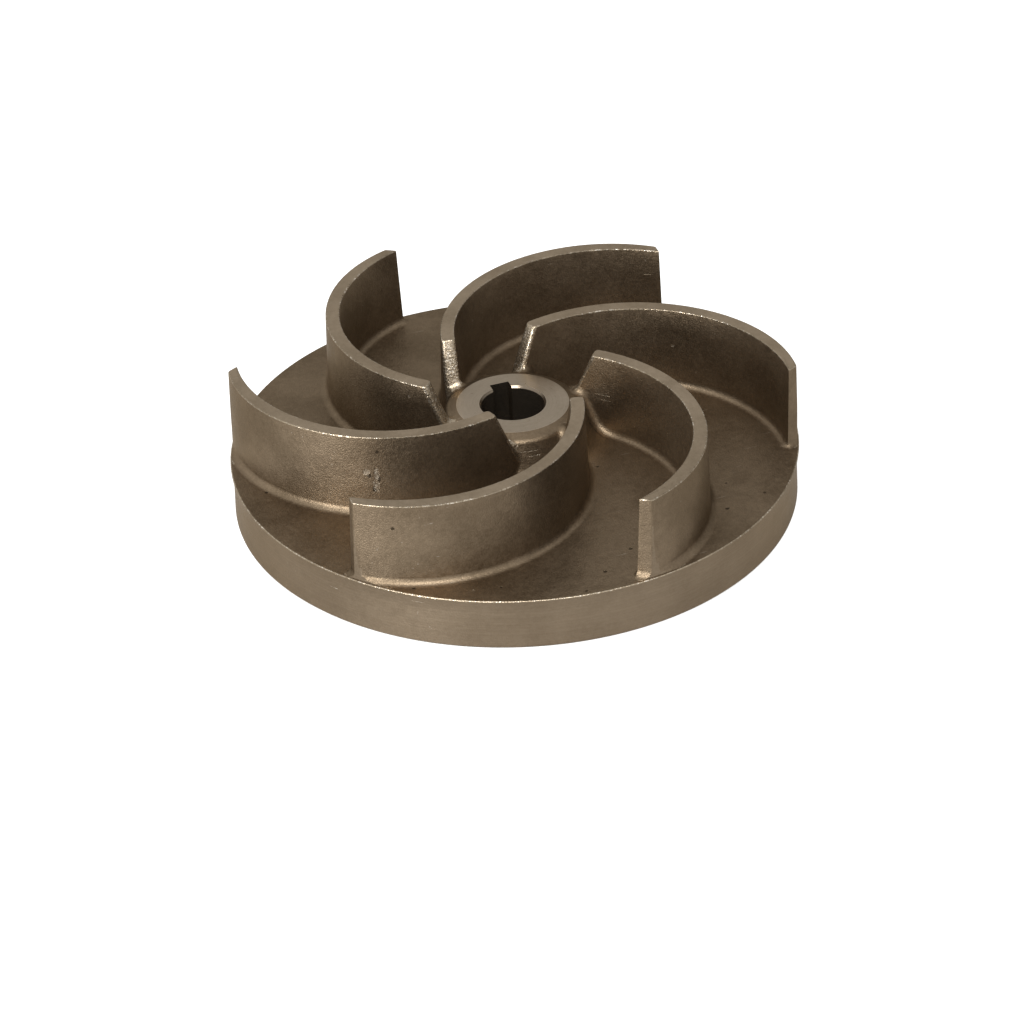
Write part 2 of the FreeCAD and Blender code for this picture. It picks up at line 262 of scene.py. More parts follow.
# %% Profile of the blank
def round_profile(corners, steps=8):
    """A closed profile of (radius, height, rounding) with its corners rounded."""
    points = []
    for index, (x, z, size) in enumerate(corners):
        here = Vector((x, z))
        before = (Vector(corners[index - 1][:2]) - here).normalized()
        after = (Vector(corners[(index + 1) % len(corners)][:2]) - here).normalized()
        if size == 0:
            points.append(here)
            continue
        half = before.angle(after) / 2
        centre = here + (before + after).normalized() * size / math.sin(half)
        start = here + before * size / math.tan(half) - centre
        end = here + after * size / math.tan(half) - centre
        sweep = start.angle_signed(end)
        for step in range(steps + 1):
            turn = -sweep * step / steps
            points.append(centre + Vector((
                start.x * math.cos(turn) - start.y * math.sin(turn),
                start.x * math.sin(turn) + start.y * math.cos(turn),
            )))
    return points


stock, disc_top, hub_face = SIZES["stock_radius"], SIZES["disc_top"], SIZES["hub_face"]
bore, bevel = SIZES["bore_radius"], SIZES["bore_bevel"]
BACK = [
    (bore + bevel, 0, 0), (17.0, 0, 0.3), (17.66, 7.5, 2.6), (64.84, 7.5, 2.6),
    (65.5, 0, 0.3), (stock, 0, 0),
]
FRONT = [
    (stock, disc_top, 0), (20.96, disc_top, 6.0), (17.1, 24.6, 1.8),
    (SIZES["hub_face_radius"], hub_face, 0.3),
]
BORE = [(bore + bevel, hub_face, 0), (bore, hub_face - bevel, 0), (bore, bevel, 0)]
profile = round_profile(BACK + FRONT + BORE)
top_line = [point for point in profile if point.y > disc_top - 0.1]
print("profile:", len(profile), "points,", len(top_line), "on the front")

# %% [markdown]
# Several steps edit a mesh by its points and edges. This helper opens the mesh of a piece
# for that and puts the result back.

# %% Editing a mesh
@contextmanager
def edited(piece):
    """Opens a piece's mesh as a bmesh, and writes it back at the end of the block."""
    shape = bmesh.new()
    shape.from_mesh(piece.data)
    yield shape
    shape.to_mesh(piece.data)
    shape.free()


# %% [markdown]
# Where a vane meets the disc or the hub, the casting has a small fillet. A ball that
# rolls along the foot and touches both surfaces leaves just that shape. For each line of
# the vane's grid that runs down a wall, the ball is lowered until it touches the
# profile. The line then follows the wall, goes round the ball, and ends inside the disc.

# %% Where the ball touches
MARCH_STEPS = 60
HALVINGS = 20


def nearest_on_front(radius, height):
    """Nearest point of the blank's front profile, and its distance, in mm."""
    best = (1e9, None)
    spot = Vector((radius, height))
    for first, last in zip(top_line, top_line[1:]):
        line = last - first
        share = min(max((spot - first).dot(line) / line.length_squared, 0), 1)
        point = first + line * share
        if (spot - point).length < best[0]:
            best = ((spot - point).length, point)
    return best


def foot_line(wall, normals, size):
    """Where a ball of this radius touches the wall and the blank: its centre and both."""
    def ball(share):
        whole = share * (len(wall) - 1)
        index = min(int(whole), len(wall) - 2)
        place = wall[index].lerp(wall[index + 1], whole - index)
        normal = normals[index].lerp(normals[index + 1], whole - index).normalized()
        centre = place + normal * size
        return place, centre, nearest_on_front(math.hypot(centre.x, centre.y), centre.z)

    stops = (step / MARCH_STEPS for step in range(MARCH_STEPS + 1))
    low = next(share for share in stops if ball(share)[2][0] < size)
    high = low - 1 / MARCH_STEPS
    for _ in range(HALVINGS):
        middle = (high + low) / 2
        if ball(middle)[2][0] > size:
            high = middle
        else:
            low = middle
    place, centre, (_, touch) = ball(high)
    out = Vector((centre.x, centre.y, 0)).normalized()
    return high, place, centre, out * touch.x + Vector((0, 0, touch.y))


# %% [markdown]
# The vane's outside is a set of columns of points. Their places in the plain box, kept
# in thousandths of its side, tell which points form a column and in what order the
# columns go round the outline. The lower part of each column is bent into the fillet.
# The last point of the arc is lifted a hair towards the ball, so that the foot crosses
# the disc at an angle. The flat ends become single faces in the end.

# %% Roots
BOX_EDGE = 500


def outline_columns(shape):
    """Columns of points that run down the vane's outside, in order round its outline."""
    mark = shape.verts.layers.float_vector["box_place"]
    columns = {}
    for vert in shape.verts:
        x, y, z = (round(c * 1000) for c in vert[mark])
        if abs(x) == BOX_EDGE or abs(y) == BOX_EDGE:
            columns.setdefault((x, y), []).append((-z, vert))

    def order(key):
        x, y = key
        sides = (
            (y == BOX_EDGE, x), (x == BOX_EDGE, 1000 - y), (y == -BOX_EDGE, 3000 - x),
            (True, 5000 + y),
        )
        return next(value for test, value in sides if test)

    return [[vert for _, vert in sorted(columns[key], key=lambda c: c[0])]
            for key in sorted(columns, key=order)]


def shape_roots(piece, size, arc_steps=7, lift=0.012):
    """Bends the lower part of each column into the fillet at the vane's foot."""
    with edited(piece) as shape:
        columns = outline_columns(shape)
        walls = [[vert.co / MM for vert in column] for column in columns]
        new_places = []
        heights = []
        for index, wall in enumerate(walls):
            before, after = walls[index - 1], walls[(index + 1) % len(walls)]
            normals = []
            for level in range(len(wall)):
                up, down = wall[max(level - 1, 0)], wall[min(level + 1, len(wall) - 1)]
                normals.append((down - up).cross(after[level] - before[level]).normalized())
            share, place, centre, touch = foot_line(wall, normals, size)
            steps = len(wall) - arc_steps - 1
            line = []
            for step in range(steps):
                whole = share * step / (steps - 1) * (len(wall) - 1)
                lower = min(int(whole), len(wall) - 2)
                line.append(wall[lower].lerp(wall[lower + 1], whole - lower))
            start, end = place - centre, touch - centre
            whole = start.angle(end)
            for step in range(1, arc_steps + 1):
                part = whole * step / arc_steps
                line.append(centre + (
                    start * math.sin(whole - part) + end * math.sin(part)) / math.sin(whole))
            line[-1] = touch + (centre - touch).normalized() * lift
            line.append(wall[-1])
            new_places.append(line)
            heights.append(place.z)
        for column, line in zip(columns, new_places):
            for vert, place in zip(column, line):
                vert.co = place * MM
        for level in (0, -1):
            height = columns[0][level].co.z
            flat = [face for face in shape.faces
                    if all(abs(vert.co.z - height) < 1e-6 for vert in face.verts)]
            bmesh.ops.dissolve_faces(shape, faces=flat, use_verts=False)
    return min(heights), max(heights)


print("walls end at heights from, to:", shape_roots(vane, SIZES["root_round"]))

# %% [markdown]
# The top edges of a ground vane are a little worn. They get a bevel weight, and a Bevel
# modifier that works by weight rounds only those. Its clamp stays off, because one short
# edge would else shrink all the rounds.

# %% Worn tops
def rounded(piece, width, steps, chosen):
    """Rounds the edges that the test picks out, by a Bevel modifier that goes by weight."""
    with edited(piece) as shape:
        weight = shape.edges.layers.float.new("bevel_weight_edge")
        picked = [edge for edge in shape.edges if chosen(edge)]
        for edge in picked:
            edge[weight] = 1.0
    bevel = piece.modifiers.new("round", "BEVEL")
    bevel.limit_method = "WEIGHT"
    bevel.width = width * MM
    bevel.segments = steps
    bevel.miter_outer = "MITER_SHARP"
    bevel.use_clamp_overlap = False
    made_plain(piece)
    return len(picked)


def outward(piece, distance=1e-7):
    """Joins vertices closer together than a distance and turns every face outwards."""
    with edited(piece) as shape:
        bmesh.ops.remove_doubles(shape, verts=shape.verts, dist=distance)
        bmesh.ops.recalc_face_normals(shape, faces=shape.faces)


def top_edge(edge):
    """Whether an edge lies between the vane's top face and its walls."""
    high = all(vert.co.z > (SIZES["vane_top"] - 0.001) * MM for vert in edge.verts)
    return high and any(face.normal.z < 0.5 for face in edge.link_faces)


vane.data.attributes.remove(vane.data.attributes["box_place"])
outward(vane)
print("worn top edges:", rounded(vane, SIZES["edge_wear"], 2, top_edge))

# %% [markdown]
# The casting has six vanes alike. A second tree repeats the finished one round the
# shaft: points in number, each with its turn, carry an instance of the vane.

# %% Ring of vanes
def ring_tree():
    """Geometry Nodes tree that repeats the incoming piece round the shaft."""
    tree = bpy.data.node_groups.new("vane ring", "GeometryNodeTree")
    tree_input(tree, "Geometry", "NodeSocketGeometry")
    tree_input(tree, "Count", "NodeSocketInt", 6)
    tree_input(tree, "Turn", "NodeSocketFloat")
    tree_input(tree, "Finish", "NodeSocketMaterial")
    given = tree.nodes.new("NodeGroupInput").outputs
    spots = add_node(tree, "GeometryNodePoints", {"Count": given["Count"]})
    number = tree.nodes.new("GeometryNodeInputIndex").outputs[0]
    pitch = sum_node(tree, "DIVIDE", math.tau, given["Count"])
    turn = sum_node(tree, "MULTIPLY_ADD", number, pitch, given["Turn"])
    turned = add_node(tree, "ShaderNodeCombineXYZ", {"Z": turn})
    rotation = add_node(tree, "FunctionNodeEulerToRotation", {0: turned.outputs[0]})
    ring = add_node(tree, "GeometryNodeInstanceOnPoints", {
        "Points": spots.outputs[0], "Instance": given["Geometry"],
        "Rotation": rotation.outputs[0],
    })
    finish_tree(tree, ring.outputs[0], given["Finish"])
    return tree


vanes = grow(vane, ring_tree(), {
    "Count": SIZES["vane_count"],
    "Turn": math.radians(SIZES["vane_turn"]),
    "Finish": finish["cast_skin"],
})
outward(vanes)
print("vanes:", len(vanes.data.vertices), "points")

# %% [markdown]
# The disc and hub come from the profile, turned once round the shaft axis.

# %% Turned blank
def solid_piece(name, shape, material):
    """Makes an object of a bmesh, with one material."""
    mesh = bpy.data.meshes.new(name)
    shape.to_mesh(mesh)
    shape.free()
    mesh.materials.append(material)
    return new_piece(name, mesh)


def turned_piece(name, profile, steps, material, start=0.0):
    """A closed ring: a profile of radius and height in mm, turned round the shaft axis."""
    shape = bmesh.new()
    rows = []
    for step in range(steps):
        turn = math.tau * (step + start) / steps
        rows.append([
            shape.verts.new((x * math.cos(turn) * MM, x * math.sin(turn) * MM, z * MM))
            for x, z in profile
        ])
    for row, following in zip(rows, rows[1:] + rows[:1]):
        for last in range(len(profile)):
            first = last - 1
            shape.faces.new((row[first], row[last], following[last], following[first]))
    bmesh.ops.recalc_face_normals(shape, faces=shape.faces)
    return solid_piece(name, shape, material)


ROUND_STEPS = 252
blank = turned_piece("impeller_casting", profile, ROUND_STEPS, finish["turned_back"])
print("blank:", len(blank.data.polygons), "faces")

# %% [markdown]
# The vanes and the blank are joined into one solid by a Boolean, as the casting is one
# piece of metal. The vanes' feet end inside the disc, so that the two cross cleanly.

# %% One casting
def combined(piece, tool, operation):
    """Joins or cuts a piece with a closed tool, which is then removed."""
    step = piece.modifiers.new("combine", "BOOLEAN")
    step.operation = operation
    step.object = tool
    step.solver = "EXACT"
    step.material_mode = "TRANSFER"
    made_plain(piece)
    bpy.data.objects.remove(tool)
    return piece


combined(blank, vanes, "UNION")
print("after joining:", len(blank.data.polygons), "faces")

# %% [markdown]
# Turning takes the stock off the rim and brings the vane tips to a diameter of their own,
# half a millimetre inside the disc's edge. The cutter is a ring with the rim's outline
# on its inside: a slightly tapered band on top, and the cast rim below it. Handling has
# worn the upper corner round, so that corner of the cutter's profile is rounded too. A
# Boolean goes wrong where two edges or planes lie on each other. So the cutter starts
# half a step round, its step is a hundredth below the disc's top, and its bevel at the
# foot runs on a tenth past the back.

# %% Rim and tips
tips, shelf = SIZES["tip_radius"], disc_top - 0.01
foot, past_foot, below, above, outside = 72.085, 71.385, -3.0, 40.0, 82.0
cutter_profile = round_profile([
    (tips, above, 0), (tips, shelf, 0), (SIZES["disc_radius"], shelf, SIZES["edge_wear"]),
    (SIZES["band_radius"], SIZES["band_foot"], 0), (foot, 0.6, 0), (past_foot, -0.1, 0),
    (past_foot, below, 0), (outside, below, 0), (outside, above, 0),
], 5)
cutter = turned_piece("rim_cut", cutter_profile, ROUND_STEPS, finish["turned_rim"], 0.5)
combined(blank, cutter, "DIFFERENCE")
print("after turning:", len(blank.data.polygons), "faces")

# %% [markdown]
# The keyway is a slot with flat sides, broached through the whole hub. A box from below
# the back to above the hub's face cuts it out of the bore's wall.

# %% Keyway
def block(name, low, high, material):
    """A closed box between two corners in mm."""
    shape = bmesh.new()
    bmesh.ops.create_cube(shape, size=1.0)
    for vert in shape.verts:
        for axis in range(3):
            middle = (low[axis] + high[axis]) / 2
            vert.co[axis] = (middle + vert.co[axis] * (high[axis] - low[axis])) * MM
    return solid_piece(name, shape, material)


half_key = SIZES["keyway_width"] / 2
key_top = SIZES["bore_radius"] + SIZES["keyway_depth"]
slot = block("keyway_cut", (-half_key, 0, -2), (half_key, key_top, 30), finish["bored_wall"])
combined(blank, slot, "DIFFERENCE")
print("after the keyway:", len(blank.data.polygons), "faces")

# %% [markdown]
# The cuts leave a few points almost on top of each other, and points that only divide a
# straight seam between two faces. Neither has a use, and both make slivers when the
# model is cut into triangles. The first are joined, the second taken out, and the mesh
# stays closed.

# %% Clean seams
def straightened(piece):
    """Takes out each vertex that only divides a straight seam between two faces."""
    with edited(piece) as shape:
        divides = []
        for vert in shape.verts:
            if len(vert.link_edges) == 2:
                first, second = (edge.other_vert(vert).co for edge in vert.link_edges)
                if (vert.co - first).cross((second - first).normalized()).length < 0.001 * MM:
                    divides.append(vert)
        count = len(divides)
        bmesh.ops.dissolve_verts(shape, verts=divides)
    return count


outward(blank, 0.006 * MM)
print("seam points taken out:", straightened(blank))

# %% [markdown]
# Some finishes belong to the vanes' walls. A place is compared with each vane's arc: how
# far it is from the arc's centre, against half the vane's thickness at that height. The
# leading edges lie between the lines of the walls, close to the inlet's angle.

# %% Places on the vanes
INLET_ZONE = 18
LINE_MARGIN = 0.02


def vane_offsets(place):
    """For each vane its turn, its arc's centre and the place's offset from it, in mm."""
    for number in range(SIZES["vane_count"]):
        turn = math.radians(SIZES["vane_turn"] + number * 360 / SIZES["vane_count"])
        centre = Vector((math.cos(turn), math.sin(turn), 0)) * SIZES["arc_offset"]
        yield turn, centre, Vector((place.x / MM, place.y / MM, 0)) - centre


def half_thickness(place):
    """Half a vane's thickness at the height of a place, draft included, in mm."""
    deep = (SIZES["vane_top"] - place.z / MM) * math.tan(math.radians(SIZES["wall_draft"]))
    return SIZES["vane_thickness"] / 2 + deep


def between_walls(place):
    """Whether a place lies on a vane's leading edge, between the lines of its walls."""
    for turn, _, offset in vane_offsets(place):
        angle = math.degrees(math.atan2(offset.y, offset.x) - turn) - SIZES["inlet_angle"]
        near = abs((angle + 180) % 360 - 180) < INLET_ZONE
        away = abs(offset.length - SIZES["arc_radius"])
        if near and away < half_thickness(place) - LINE_MARGIN:
            return True
    return False


# %% [markdown]
# Each face gets the finish of the place where it lies. Most are told by the radius and
# height of the face's middle, with limits a little past the edges that they follow. The
# direction of the face tells a flat top from its worn edge, and the rim from the disc.

# %% Faces by finish
BORE_ZONE = SIZES["bore_radius"] + 0.7
SLOT_HALF, SLOT_END, SLOT_RADIUS = half_key + 0.15, 10.5, 10.9
TOP_ZONE = SIZES["vane_top"] - 0.3
HUB_ZONE = SIZES["hub_face_radius"] + 0.3
DISC_ZONE = disc_top + 0.1
TIP_ZONE, RIM_ZONE = 71.9, 71.3


def finish_at(centre, normal):
    """Name of the finish at a place on the casting."""
    radius, height = math.hypot(centre.x, centre.y) / MM, centre.z / MM
    in_slot = abs(centre.x / MM) < SLOT_HALF and 0 < centre.y / MM < SLOT_END
    if radius < BORE_ZONE or (in_slot and height < hub_face - 0.01 and radius < SLOT_RADIUS):
        return "bored_wall"
    # The worn edges of the vane tops get the finish of worn bare metal with painted glints.
    if height > TOP_ZONE:
        return "ground_tops" if normal.z > 0.999 else "worn_edges_and_glints"
    if radius < HUB_ZONE and height > hub_face - 0.15:
        return "turned_hub"
    out = Vector((centre.x, centre.y, 0)).normalized().dot(normal)
    if radius > TIP_ZONE and height > DISC_ZONE:
        return "turned_rim" if out > 0.9 else "cast_skin"
    # The rim's worn upper edge gets the finish of worn bare metal with painted glints.
    if radius > RIM_ZONE and 0.01 < height < DISC_ZONE and out > 0.01:
        return "worn_edges_and_glints" if height > disc_top - 0.5 and normal.z > 0.03 else "turned_rim"
    # Leading edges get the finish of worn bare metal with painted glints.
    if radius < 40 and height > 15 and between_walls(centre):
        return "worn_edges_and_glints" if nearest_on_front(radius, height)[0] > 0.05 else "cast_skin"
    if height < 0.05:
        return "turned_back"
    return "cast_skin"


blank.data.materials.clear()
for name in FINISHES:
    blank.data.materials.append(finish[name])
tally = dict.fromkeys(FINISHES, 0)
for face in blank.data.polygons:
    name = finish_at(face.center, face.normal)
    face.material_index = FINISHES.index(name)
    tally[name] += 1
print("faces:", tally)

# %% [markdown]
# Flat faces should look flat, curved walls even, and the small rounds between them should
# carry the turn of the light. The mesh alone can't tell, since the cuts left its faces
# uneven in size. The part is drawn by rules, though, so the true direction of a wall, a
# turned face or a flat is known at each of its points. Small faces have no rule: they
# belong to the rounds.

# %% Rules for the directions
SPAN = 2.2
WALL_MARGIN = 0.06
LARGE_AREA = 6 * MM * MM


def vane_side(place, direction):
    """Which wall of a vane a face is part of: (centre of its arc, side), or None."""
    radius = math.hypot(place.x, place.y) / MM
    if radius < 14 or place.z < 14 * MM or abs(direction.z) > 0.2:
        return None
    for _, centre, offset in vane_offsets(place):
        for side in (1, -1):
            wall = SIZES["arc_radius"] + side * half_thickness(place)
            facing = offset.normalized().dot(direction) * side
            if abs(offset.length - wall) < WALL_MARGIN and facing > 0.99:
                return centre, side
    return None


def face_rule(face, corners):
    """The rule that gives a large face's true direction at any of its points, or None."""
    normal, middle = face.normal.copy(), face.center
    if abs(normal.z) > 0.9998:
        level = Vector((0, 0, math.copysign(1, normal.z)))
        return lambda place: level
    rise = (max(c.z for c in corners) - min(c.z for c in corners)) / MM
    if rise < SPAN:
        return None
    wall = vane_side(middle, normal)
    if wall:
        centre, side = wall
        lean = math.radians(SIZES["wall_draft"])
        return lambda place: (
            (Vector((place.x / MM, place.y / MM, 0)) - centre).normalized()
            * side * math.cos(lean) + Vector((0, 0, math.sin(lean)))
        )
    out = Vector((middle.x, middle.y, 0)).normalized()
    if abs(normal.cross(out).z) < 0.012 and abs(normal.dot(out)) > 0.5:
        part = normal.dot(out)
        return lambda place: (
            Vector((place.x, place.y, 0)).normalized() * part + Vector((0, 0, normal.z))
        )
    if face.area > LARGE_AREA:
        return lambda place: normal
    return None


# %% [markdown]
# The part is shaded smooth, apart from edges sharper than 40 degrees, and large faces
# weigh most in its normals. Then each corner at a face with a rule gets that direction,
# unless its own face looks another way.

# %% True directions
def set_true_normals(piece):
    """Gives the points of large faces the exact direction of the surface."""
    mesh = piece.data
    known = {}
    for face in mesh.polygons:
        rule = face_rule(face, [mesh.vertices[v].co for v in face.vertices])
        if rule is None:
            continue
        for v in face.vertices:
            known.setdefault(v, []).append((face.area, rule(mesh.vertices[v].co).normalized()))
    normals = [corner.vector.copy() for corner in mesh.corner_normals]
    for face in mesh.polygons:
        for index in face.loop_indices:
            choices = [
                choice for choice in known.get(mesh.loops[index].vertex_index, ())
                if choice[1].dot(face.normal) > 0.8
            ]
            if choices:
                normals[index] = max(choices, key=lambda choice: choice[0])[1]
    mesh.normals_split_custom_set(normals)
    return len(known)


blank.data.shade_smooth()
blank.data.set_sharp_from_angle(angle=math.radians(40))
weighted = blank.modifiers.new("weighted", "WEIGHTED_NORMAL")
weighted.keep_sharp = True
weighted.weight = 50
made_plain(blank)
print("points with a true direction:", set_true_normals(blank))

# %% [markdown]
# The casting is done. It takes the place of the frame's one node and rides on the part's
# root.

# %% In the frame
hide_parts("impeller")
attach(blank, "root")
print("finished casting:", len(blank.data.polygons), "faces")

# %% [markdown]
# Materials. Every finish is the same steel, and differs in how the surface was made. All
# patterns read the place on the part in millimetres, from Object coordinates, so that
# they hold still when the part is seen from another side. First come the helpers: one
# starts a node group, the others add a sum of places, a noise and an eased step.

# %% Material helpers
def group_tree(name, inputs, outputs):
    """A shader node group. An input without a number is a place, the others are plain."""
    tree = bpy.data.node_groups.new(name, "ShaderNodeTree")
    for title, value in inputs.items():
        kind = "NodeSocketVector" if value is None else "NodeSocketFloat"
        tree_input(tree, title, kind, value)
    for title in outputs:
        tree.interface.new_socket(title, in_out="OUTPUT", socket_type="NodeSocketFloat")
    given = tree.nodes.new("NodeGroupInput").outputs
    return tree, given, tree.nodes.new("NodeGroupOutput")


def vector_sum(tree, operation, *values):
    """One Vector Math node: gives a vector, or the number of a length or dot product."""
    values = dict(enumerate(values))
    node = add_node(tree, "ShaderNodeVectorMath", values, operation=operation)
    return node.outputs["Value" if operation in ("LENGTH", "DOT_PRODUCT") else "Vector"]


def noise(tree, place, scale, detail=3.0, rough=0.6):
    """A noise texture's value at a place in mm, with so many lumps to a millimetre."""
    return add_node(tree, "ShaderNodeTexNoise", {
        "Vector": place, "Scale": scale, "Detail": detail, "Roughness": rough,
    }).outputs[0]


def ramp(tree, value, low, high, start=0.0, end=1.0):
    """Eases from start to end while a value goes from low to high."""
    return add_node(tree, "ShaderNodeMapRange", {
        "Value": value, "From Min": low, "From Max": high, "To Min": start, "To Max": end,
    }, interpolation_type="SMOOTHSTEP").outputs[0]


# %% [markdown]
# The cast skin copies the fine grit of the ceramic mould and was blasted clean. Its
# grain is a third of a millimetre, over shallow waves a few millimetres wide. Patches of
# a slightly browner or greyer oxide lie over whole areas.

# %% Cast grain
def cast_grain():
    """Relief and tones of the cast and blasted skin."""
    tree, given, result = group_tree(
        "cast grain", {"Place": None, "Grain": 2.6}, ("Height", "Tone", "Patch")
    )
    place = given["Place"]
    fine = noise(tree, place, given["Grain"], 2.0, 0.55)
    waves = noise(tree, place, 0.22, 2.0, 0.5)
    tone = sum_node(tree, "MULTIPLY_ADD", noise(tree, place, 0.9, 4.0, 0.7), 0.6,
                    sum_node(tree, "MULTIPLY", fine, 0.4))
    fill(tree, result, {
        "Height": sum_node(tree, "MULTIPLY_ADD", waves, 1.6, fine),
        "Tone": ramp(tree, tone, 0.3, 0.7),
        "Patch": ramp(tree, noise(tree, place, 0.055), 0.35, 0.65),
    })
    return tree


# %% [markdown]
# A turning tool leaves fine rings round the shaft axis. On a flat face they differ from
# radius to radius, and on the rim from height to height, so the pattern reads only those
# two numbers. A little of the plain place breaks the rings up.

# %% Tool rings
def tool_rings():
    """Relief and tone of the fine rings that turning leaves."""
    tree, given, result = group_tree(
        "tool rings", {"Place": None, "Rings": 3.0, "Wander": 1.0}, ("Height", "Tone")
    )
    axes = add_node(tree, "ShaderNodeSeparateXYZ", {0: given["Place"]}).outputs
    flat = add_node(tree, "ShaderNodeCombineXYZ", {"X": axes["X"], "Y": axes["Y"]})
    radius = vector_sum(tree, "LENGTH", flat.outputs[0])
    drift = sum_node(tree, "MULTIPLY", noise(tree, given["Place"], 0.15, 2.0), given["Wander"])
    spot = add_node(tree, "ShaderNodeCombineXYZ", {
        "X": sum_node(tree, "ADD", radius, drift),
        "Y": sum_node(tree, "ADD", axes["Z"], drift),
    })
    rings = noise(tree, spot.outputs[0], given["Rings"], 3.0, 0.7)
    fill(tree, result, {"Height": rings, "Tone": ramp(tree, rings, 0.3, 0.7)})
    return tree


# %% [markdown]
# Small dents, pits and dark specks are scattered over a casting. Each cell of a Voronoi
# pattern holds one spot at its centre, and only the few cells that drew a low number
# show it. The spot is a hollow in the relief, and darker than its surroundings.

# %% Pits
def pits():
    """Mask of a few small pits, with their spacing and radius in mm."""
    tree, given, result = group_tree(
        "pits", {"Place": None, "Spacing": 7.0, "Radius": 0.45, "Share": 0.3}, ("Mask",)
    )
    bent = add_node(tree, "ShaderNodeTexNoise", {
        "Vector": given["Place"], "Scale": 1.2, "Detail": 2.0,
    })
    moved = vector_sum(tree, "MULTIPLY_ADD", bent.outputs["Color"], (0.9, 0.9, 0.9), given["Place"])
    cells = add_node(tree, "ShaderNodeTexVoronoi", {
        "Vector": moved, "Scale": sum_node(tree, "DIVIDE", 1.0, given["Spacing"]),
    }).outputs
    distance = sum_node(tree, "MULTIPLY", cells["Distance"], given["Spacing"])
    spot = sum_node(tree, "LESS_THAN", distance, given["Radius"])
    drawn = add_node(tree, "ShaderNodeSeparateColor", {0: cells["Color"]})
    kept = sum_node(tree, "LESS_THAN", drawn.outputs[0], given["Share"])
    fill(tree, result, {"Mask": sum_node(tree, "MULTIPLY", spot, kept)})
    return tree


# %% [markdown]
# A scrape leaves a thin bright line. Noise that is stretched about tenfold along one
# direction makes streaks. Only its highest crests are kept, and only in some areas.

# %% Scrapes
def scrapes():
    """Mask of a few thin scrapes, long in one direction."""
    tree, given, result = group_tree("scrapes", {"Place": None, "Amount": 0.5}, ("Mask",))
    turned = add_node(tree, "ShaderNodeMapping", {
        "Vector": given["Place"], "Rotation": (0.3, 0.2, 0.7), "Scale": (0.12, 1.6, 0.9),
    })
    streaks = noise(tree, turned.outputs[0], 1.0, 3.0, 0.5)
    crest = ramp(tree, streaks, 0.69, 0.74)
    area = ramp(tree, noise(tree, given["Place"], 0.06, 1.0), 0.5, 0.62)
    both = sum_node(tree, "MULTIPLY", crest, area)
    fill(tree, result, {"Mask": sum_node(tree, "MULTIPLY", both, given["Amount"])})
    return tree


# %% [markdown]
# This part also has marks of its own: a few pores in the cast skin, knocks on one vane's
# wall, and small scratches near the hub. Each is a place with three half widths in
# millimetres. The distance to the place is measured in those widths, a little noise makes
# it ragged, and the mark fades out where it grows.

# %% Marks of this part
PORES = [
    ((-48.8, -49.6, 29.8), (0.6, 0.6, 0.5)), ((-45.5, -53.1, 14.1), (0.5, 0.4, 0.4)),
    ((37.8, -50.1, 14.0), (0.6, 0.5, 0.4)), ((9.1, -57.4, 14.0), (0.6, 0.4, 0.4)),
    ((-0.2, -64.4, 14.0), (0.5, 0.5, 0.4)), ((-65.5, 2.2, 14.0), (0.5, 0.5, 0.5)),
    ((7.9, -30.9, 27.0), (0.5, 0.5, 0.4)), ((15.3, -19.3, 14.0), (0.5, 0.4, 0.4)),
    ((18.6, -69.5, 6.6), (1.0, 0.8, 0.6)), ((-54.6, -46.9, 21.5), (0.8, 0.8, 0.35)),
    ((28.0, -33.0, 14.0), (0.4, 0.4, 0.4)), ((-25.8, -60.9, 14.0), (0.4, 0.4, 0.4)),
    ((-44.1, -17.4, 25.0), (0.5, 0.5, 0.6)), ((-42.0, -18.6, 24.2), (0.3, 0.5, 1.0)),
    ((-43.3, -18.0, 21.2), (0.4, 0.5, 0.8)),
]
KNOCKS = [
    ((-44.9, -17.1, 26.1), (1.0, 0.8, 0.9)), ((-42.6, -18.3, 25.6), (0.7, 0.8, 1.9)),
    ((-42.8, -18.2, 22.2), (0.9, 0.8, 1.7)), ((53.3, 42.5, 28.9), (1.8, 0.8, 0.2)),
    ((47.8, 10.2, 25.8), (0.5, 0.5, 0.4)), ((-32.4, -59.6, 14.0), (0.4, 0.4, 0.4)),
    ((-26.4, 3.0, 32.3), (0.4, 0.4, 0.4)), ((10.5, 5.7, 25.8), (0.5, 0.35, 0.3)),
    ((-2.0, -17.8, 22.1), (2.4, 0.9, 0.12)), ((-1.2, -18.1, 20.9), (2.0, 0.9, 0.1)),
    ((22.6, -5.0, 25.3), (2.4, 2.4, 0.13)), ((23.0, -5.6, 23.9), (1.6, 1.6, 0.1)),
    ((-61.0, -37.6, 9.0), (0.8, 3.0, 0.12)), ((-45.0, -55.9, 12.0), (2.5, 1.2, 0.1)),
]


def marks(name, spots):
    """Mask of marks at given places, with ragged outlines."""
    tree, given, result = group_tree(name, {"Place": None, "Ragged": 1.5}, ("Mask",))
    nearest = 9.0
    for place, widths in spots:
        away = vector_sum(tree, "SUBTRACT", given["Place"], place)
        far = vector_sum(tree, "LENGTH", vector_sum(tree, "DIVIDE", away, widths))
        nearest = sum_node(tree, "MINIMUM", far, nearest)
    rough = noise(tree, given["Place"], 3.0, 2.0)
    ragged = sum_node(tree, "MULTIPLY_ADD", rough, given["Ragged"], nearest)
    fill(tree, result, {"Mask": ramp(tree, ragged, 1.45, 1.85, 1.0, 0.0)})
    return tree


GROUPS = {
    "grain": cast_grain(), "rings": tool_rings(), "pits": pits(), "scrapes": scrapes(),
    "pores": marks("pores", PORES), "knocks": marks("knocks", KNOCKS),
}
print("node groups:", [tree.name for tree in GROUPS.values()])

# %% [markdown]
# A Mix node has sets of inputs for numbers, vectors and colours, of which number 6 and 7
# are the two colours.

